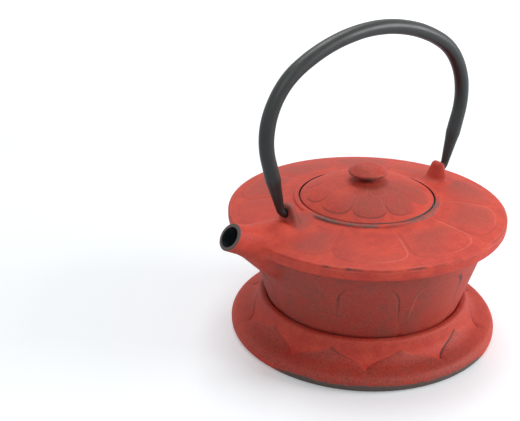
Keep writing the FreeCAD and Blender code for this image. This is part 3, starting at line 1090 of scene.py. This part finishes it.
def make_handle():
    """Bail: a top arc, a rounded corner, a leaning leg that narrows in a short neck, and the hook."""
    apex = Vector((0, 0, hinge_height + handle_rise))
    top_centre = apex - UP * handle_top_radius
    foot = Vector((hook_foot_radius, 0, hinge_height))
    down = Vector((-math.sin(handle_lean), 0, -math.cos(handle_lean)))
    outward = Vector((math.cos(handle_lean), 0, -math.sin(handle_lean)))
    reach = (foot - top_centre).dot(outward) - handle_corner_radius
    arc_gap = handle_top_radius - handle_corner_radius
    join_angle = handle_lean + math.asin(reach / arc_gap)
    corner_centre = top_centre + Vector((math.sin(join_angle), 0, math.cos(join_angle))) * arc_gap
    leg_angle = math.pi / 2 + handle_lean
    leg_top = corner_centre + outward * handle_corner_radius
    bend_angle = math.pi / 2 - handle_lean
    trim = hook_bend_radius * math.tan(bend_angle / 2)
    leg_low = foot - down * trim
    taper_top = leg_low - down * handle_taper_length
    bend_centre = leg_low - outward * hook_bend_radius

    bm = bmesh.new()
    ring = bmesh.ops.create_circle(
        bm, segments=handle_sides, radius=handle_radius,
        matrix=Matrix.Translation(apex) @ Matrix.Rotation(math.pi / 2, 4, "Y"))["verts"]
    ring = ring + bm.edges[:]
    ring = bent_on(bm, ring, top_centre, join_angle, bend_steps)
    ring = bent_on(bm, ring, corner_centre, leg_angle - join_angle, bend_steps)
    for step in range(leg_steps):
        ring = drawn_on(bm, ring, (taper_top - leg_top) / leg_steps)
    radius = handle_radius
    for step in range(1, taper_steps + 1):
        share = step / taper_steps
        eased = 0.1 * rise(share, 0, 0.3) + 0.9 * share
        wanted = handle_radius + (hook_radius - handle_radius) * eased
        ring = drawn_on(bm, ring, (leg_low - taper_top) / taper_steps, wanted / radius)
        radius = wanted
    ring = bent_on(bm, ring, bend_centre, bend_angle, 12)
    hook_start = foot.x - trim
    for step in range(hook_steps):
        ring = drawn_on(bm, ring, ((hook_tip_radius + hook_tip_length - hook_start) / hook_steps, 0, 0))
    for length, size in hook_tip_steps:
        ring = drawn_on(bm, ring, (-length, 0, 0), size)
    bmesh.ops.contextual_create(bm, geom=ring_edges(ring))
    bmesh.ops.mirror(bm, geom=everything(bm), axis="X", merge_dist=0)
    bmesh.ops.remove_doubles(bm, verts=bm.verts, dist=0.01 * MM)
    bmesh.ops.recalc_face_normals(bm, faces=bm.faces)
    bm.normal_update()
    moves = []
    for vert in bm.verts:
        clear = rise(vert.co.z, hinge_height + 20 * MM, hinge_height + 40 * MM)
        swell = noise.noise(vert.co * 55) * 0.12 + noise.noise(vert.co * 140) * 0.05
        moves.append(vert.normal * (swell - 0.17) * clear * MM)
    for vert, move in zip(bm.verts, moves):
        vert.co += move
    return placed(as_object(bm, "bail"), "handle", "handle", "dark_iron", dark_iron)


def outer_profile(node):
    """Largest radius of a turned node at each of its corner heights, from the top down."""
    widest = {}
    for radius, height in half_section(node):
        level = round(height, 5)
        widest[level] = max(radius, widest.get(level, 0))
    return [(widest[level], level) for level in sorted(widest, reverse=True)]


def make_basket_rim():
    bm = turned(half_section("infuser_rim"), ring_columns, lambda radius, height: plain_row)
    return placed(as_object(bm, "basket_rim"), "infuser_rim", "infuser", "basket_steel", basket_steel)


def make_washer():
    bm = turned(half_section("knob_washer"), washer_columns, lambda radius, height: plain_row)
    return placed(as_object(bm, "stud_washer"), "knob_washer", "lid", "basket_steel", basket_steel)


def woven(piece):
    """Turns a sheet's edges into wires."""
    net = piece.modifiers.new("wires", "WIREFRAME")
    net.thickness = wire_size
    net.use_even_offset = False
    net.use_boundary = True
    net.use_replace = True
    applied(piece)
    bm = bmesh.new()
    bm.from_mesh(piece.data)
    bmesh.ops.recalc_face_normals(bm, faces=bm.faces)
    bm.to_mesh(piece.data)
    bm.free()
    return piece


def make_basket_wall():
    inset = wire_size / 2
    points = [(radius - inset, height) for radius, height in outer_profile("infuser_wall")]
    bm = turned(points, weave_columns, lambda radius, height: weave_pitch)
    return placed(woven(as_object(bm, "basket_wall")), "infuser_wall", "infuser", "basket_mesh", basket_wire)


def make_basket_base():
    low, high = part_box("infuser_base")
    radius = high.x - 0.9 * MM
    cells = math.ceil(2 * radius / weave_pitch)
    bm = bmesh.new()
    bmesh.ops.create_grid(bm, x_segments=cells, y_segments=cells, size=radius,
                          matrix=Matrix.Translation((0, 0, low.z + wire_size / 2)))
    outside = [vert for vert in bm.verts if math.hypot(vert.co.x, vert.co.y) > radius]
    bmesh.ops.delete(bm, geom=outside, context="VERTS")
    floor = woven(as_object(bm, "basket_floor"))
    placed(floor, "infuser_base", "infuser", "basket_mesh", basket_wire)
    band = [point for point in half_section("infuser_base") if point[0] > radius - MM]
    bm = turned(band + band[:1], ring_columns, lambda radius, height: plain_row)
    ring = as_object(bm, "basket_band")
    return placed(ring, "infuser_base", "infuser", "basket_mesh", basket_steel)


def make_floor():
    """White sweep that takes the object's shadow."""
    bm = bmesh.new()
    bmesh.ops.create_grid(bm, x_segments=1, y_segments=1, size=3.0)
    floor = as_object(bm, "studio_floor")
    material, paper, add = shader("studio_paper")
    tree = material.node_tree
    place = object_place(add)
    fibre = clouds_at(add, place, 300.0, 2.0)
    tone = colour_mix(add, fibre, (0.81, 0.85, 0.88, 1), (0.83, 0.87, 0.90, 1))
    wire(tree, tone, paper.inputs["Base Color"])
    paper.inputs["Roughness"].default_value = 0.9
    paper.inputs["Specular IOR Level"].default_value = 0.1
    paper.inputs["Emission Color"].default_value = (1, 1, 1, 1)
    ray = add("ShaderNodeLightPath").outputs["Is Camera Ray"]
    away = add("ShaderNodeVectorMath", {0: place}, operation="LENGTH").outputs["Value"]
    lift = ramp(add, away, *far_floor, floor_lift, 1.0)
    wire(tree, times(add, ray, lift), paper.inputs["Emission Strength"])
    floor.data.materials.append(material)


def make_light():
    world = bpy.data.worlds.new("studio")
    bpy.context.scene.world = world
    world.use_nodes = True
    tree = world.node_tree
    tree.nodes.clear()
    add = maker(tree)
    ray = add("ShaderNodeLightPath")
    seen = ray.outputs["Is Camera Ray"]
    for other in ("Is Glossy Ray", "Is Transmission Ray"):
        seen = add("ShaderNodeMath", {0: seen, 1: ray.outputs[other]}, operation="MAXIMUM").outputs[0]
    fill = add("ShaderNodeBackground", {"Color": (0.96, 0.98, 1.0, 1), "Strength": sky_level})
    white = add("ShaderNodeBackground", {"Color": (1, 1, 1, 1), "Strength": 1.0})
    both = add("ShaderNodeMixShader", {0: seen, 1: fill.outputs[0], 2: white.outputs[0]})
    add("ShaderNodeOutputWorld", {"Surface": both.outputs[0]})
    softbox("key_softbox", key_place, key_size, key_power)
    softbox("front_softbox", front_place, front_size, front_power)
    softbox("side_softbox", side_place, side_size, side_power)


def softbox(name, place, size, power):
    data = bpy.data.lights.new(name, "AREA")
    data.shape = "SQUARE"
    data.size = size
    data.energy = power
    lamp = bpy.data.objects.new(name, data)
    bpy.context.scene.collection.objects.link(lamp)
    lamp.location = place
    aim = Vector((0, 0, 0.08)) - place
    lamp.rotation_euler = aim.to_track_quat("-Z", "Y").to_euler()


def make_camera():
    data = bpy.data.cameras.new("photo_camera")
    data.sensor_fit = "HORIZONTAL"
    data.sensor_width = sensor_width
    data.lens = camera_focal_pixels * sensor_width / image_width
    camera = bpy.data.objects.new("photo_camera", data)
    bpy.context.scene.collection.objects.link(camera)
    level = camera_distance * math.cos(camera_elevation)
    camera.location = (
        level * math.sin(camera_azimuth),
        -level * math.cos(camera_azimuth),
        camera_target_height + camera_distance * math.sin(camera_elevation))
    camera.rotation_euler = (math.pi / 2 - camera_pitch, 0, camera_azimuth + camera_yaw)
    bpy.context.scene.camera = camera


noise.seed_set(pattern_seed)
make_pot()
make_stand()
make_lid()
make_knob()
make_washer()
make_handle()
make_basket_rim()
make_basket_wall()
make_basket_base()
make_floor()
make_light()
make_camera()

bpy.context.scene.view_settings.view_transform = "Standard"
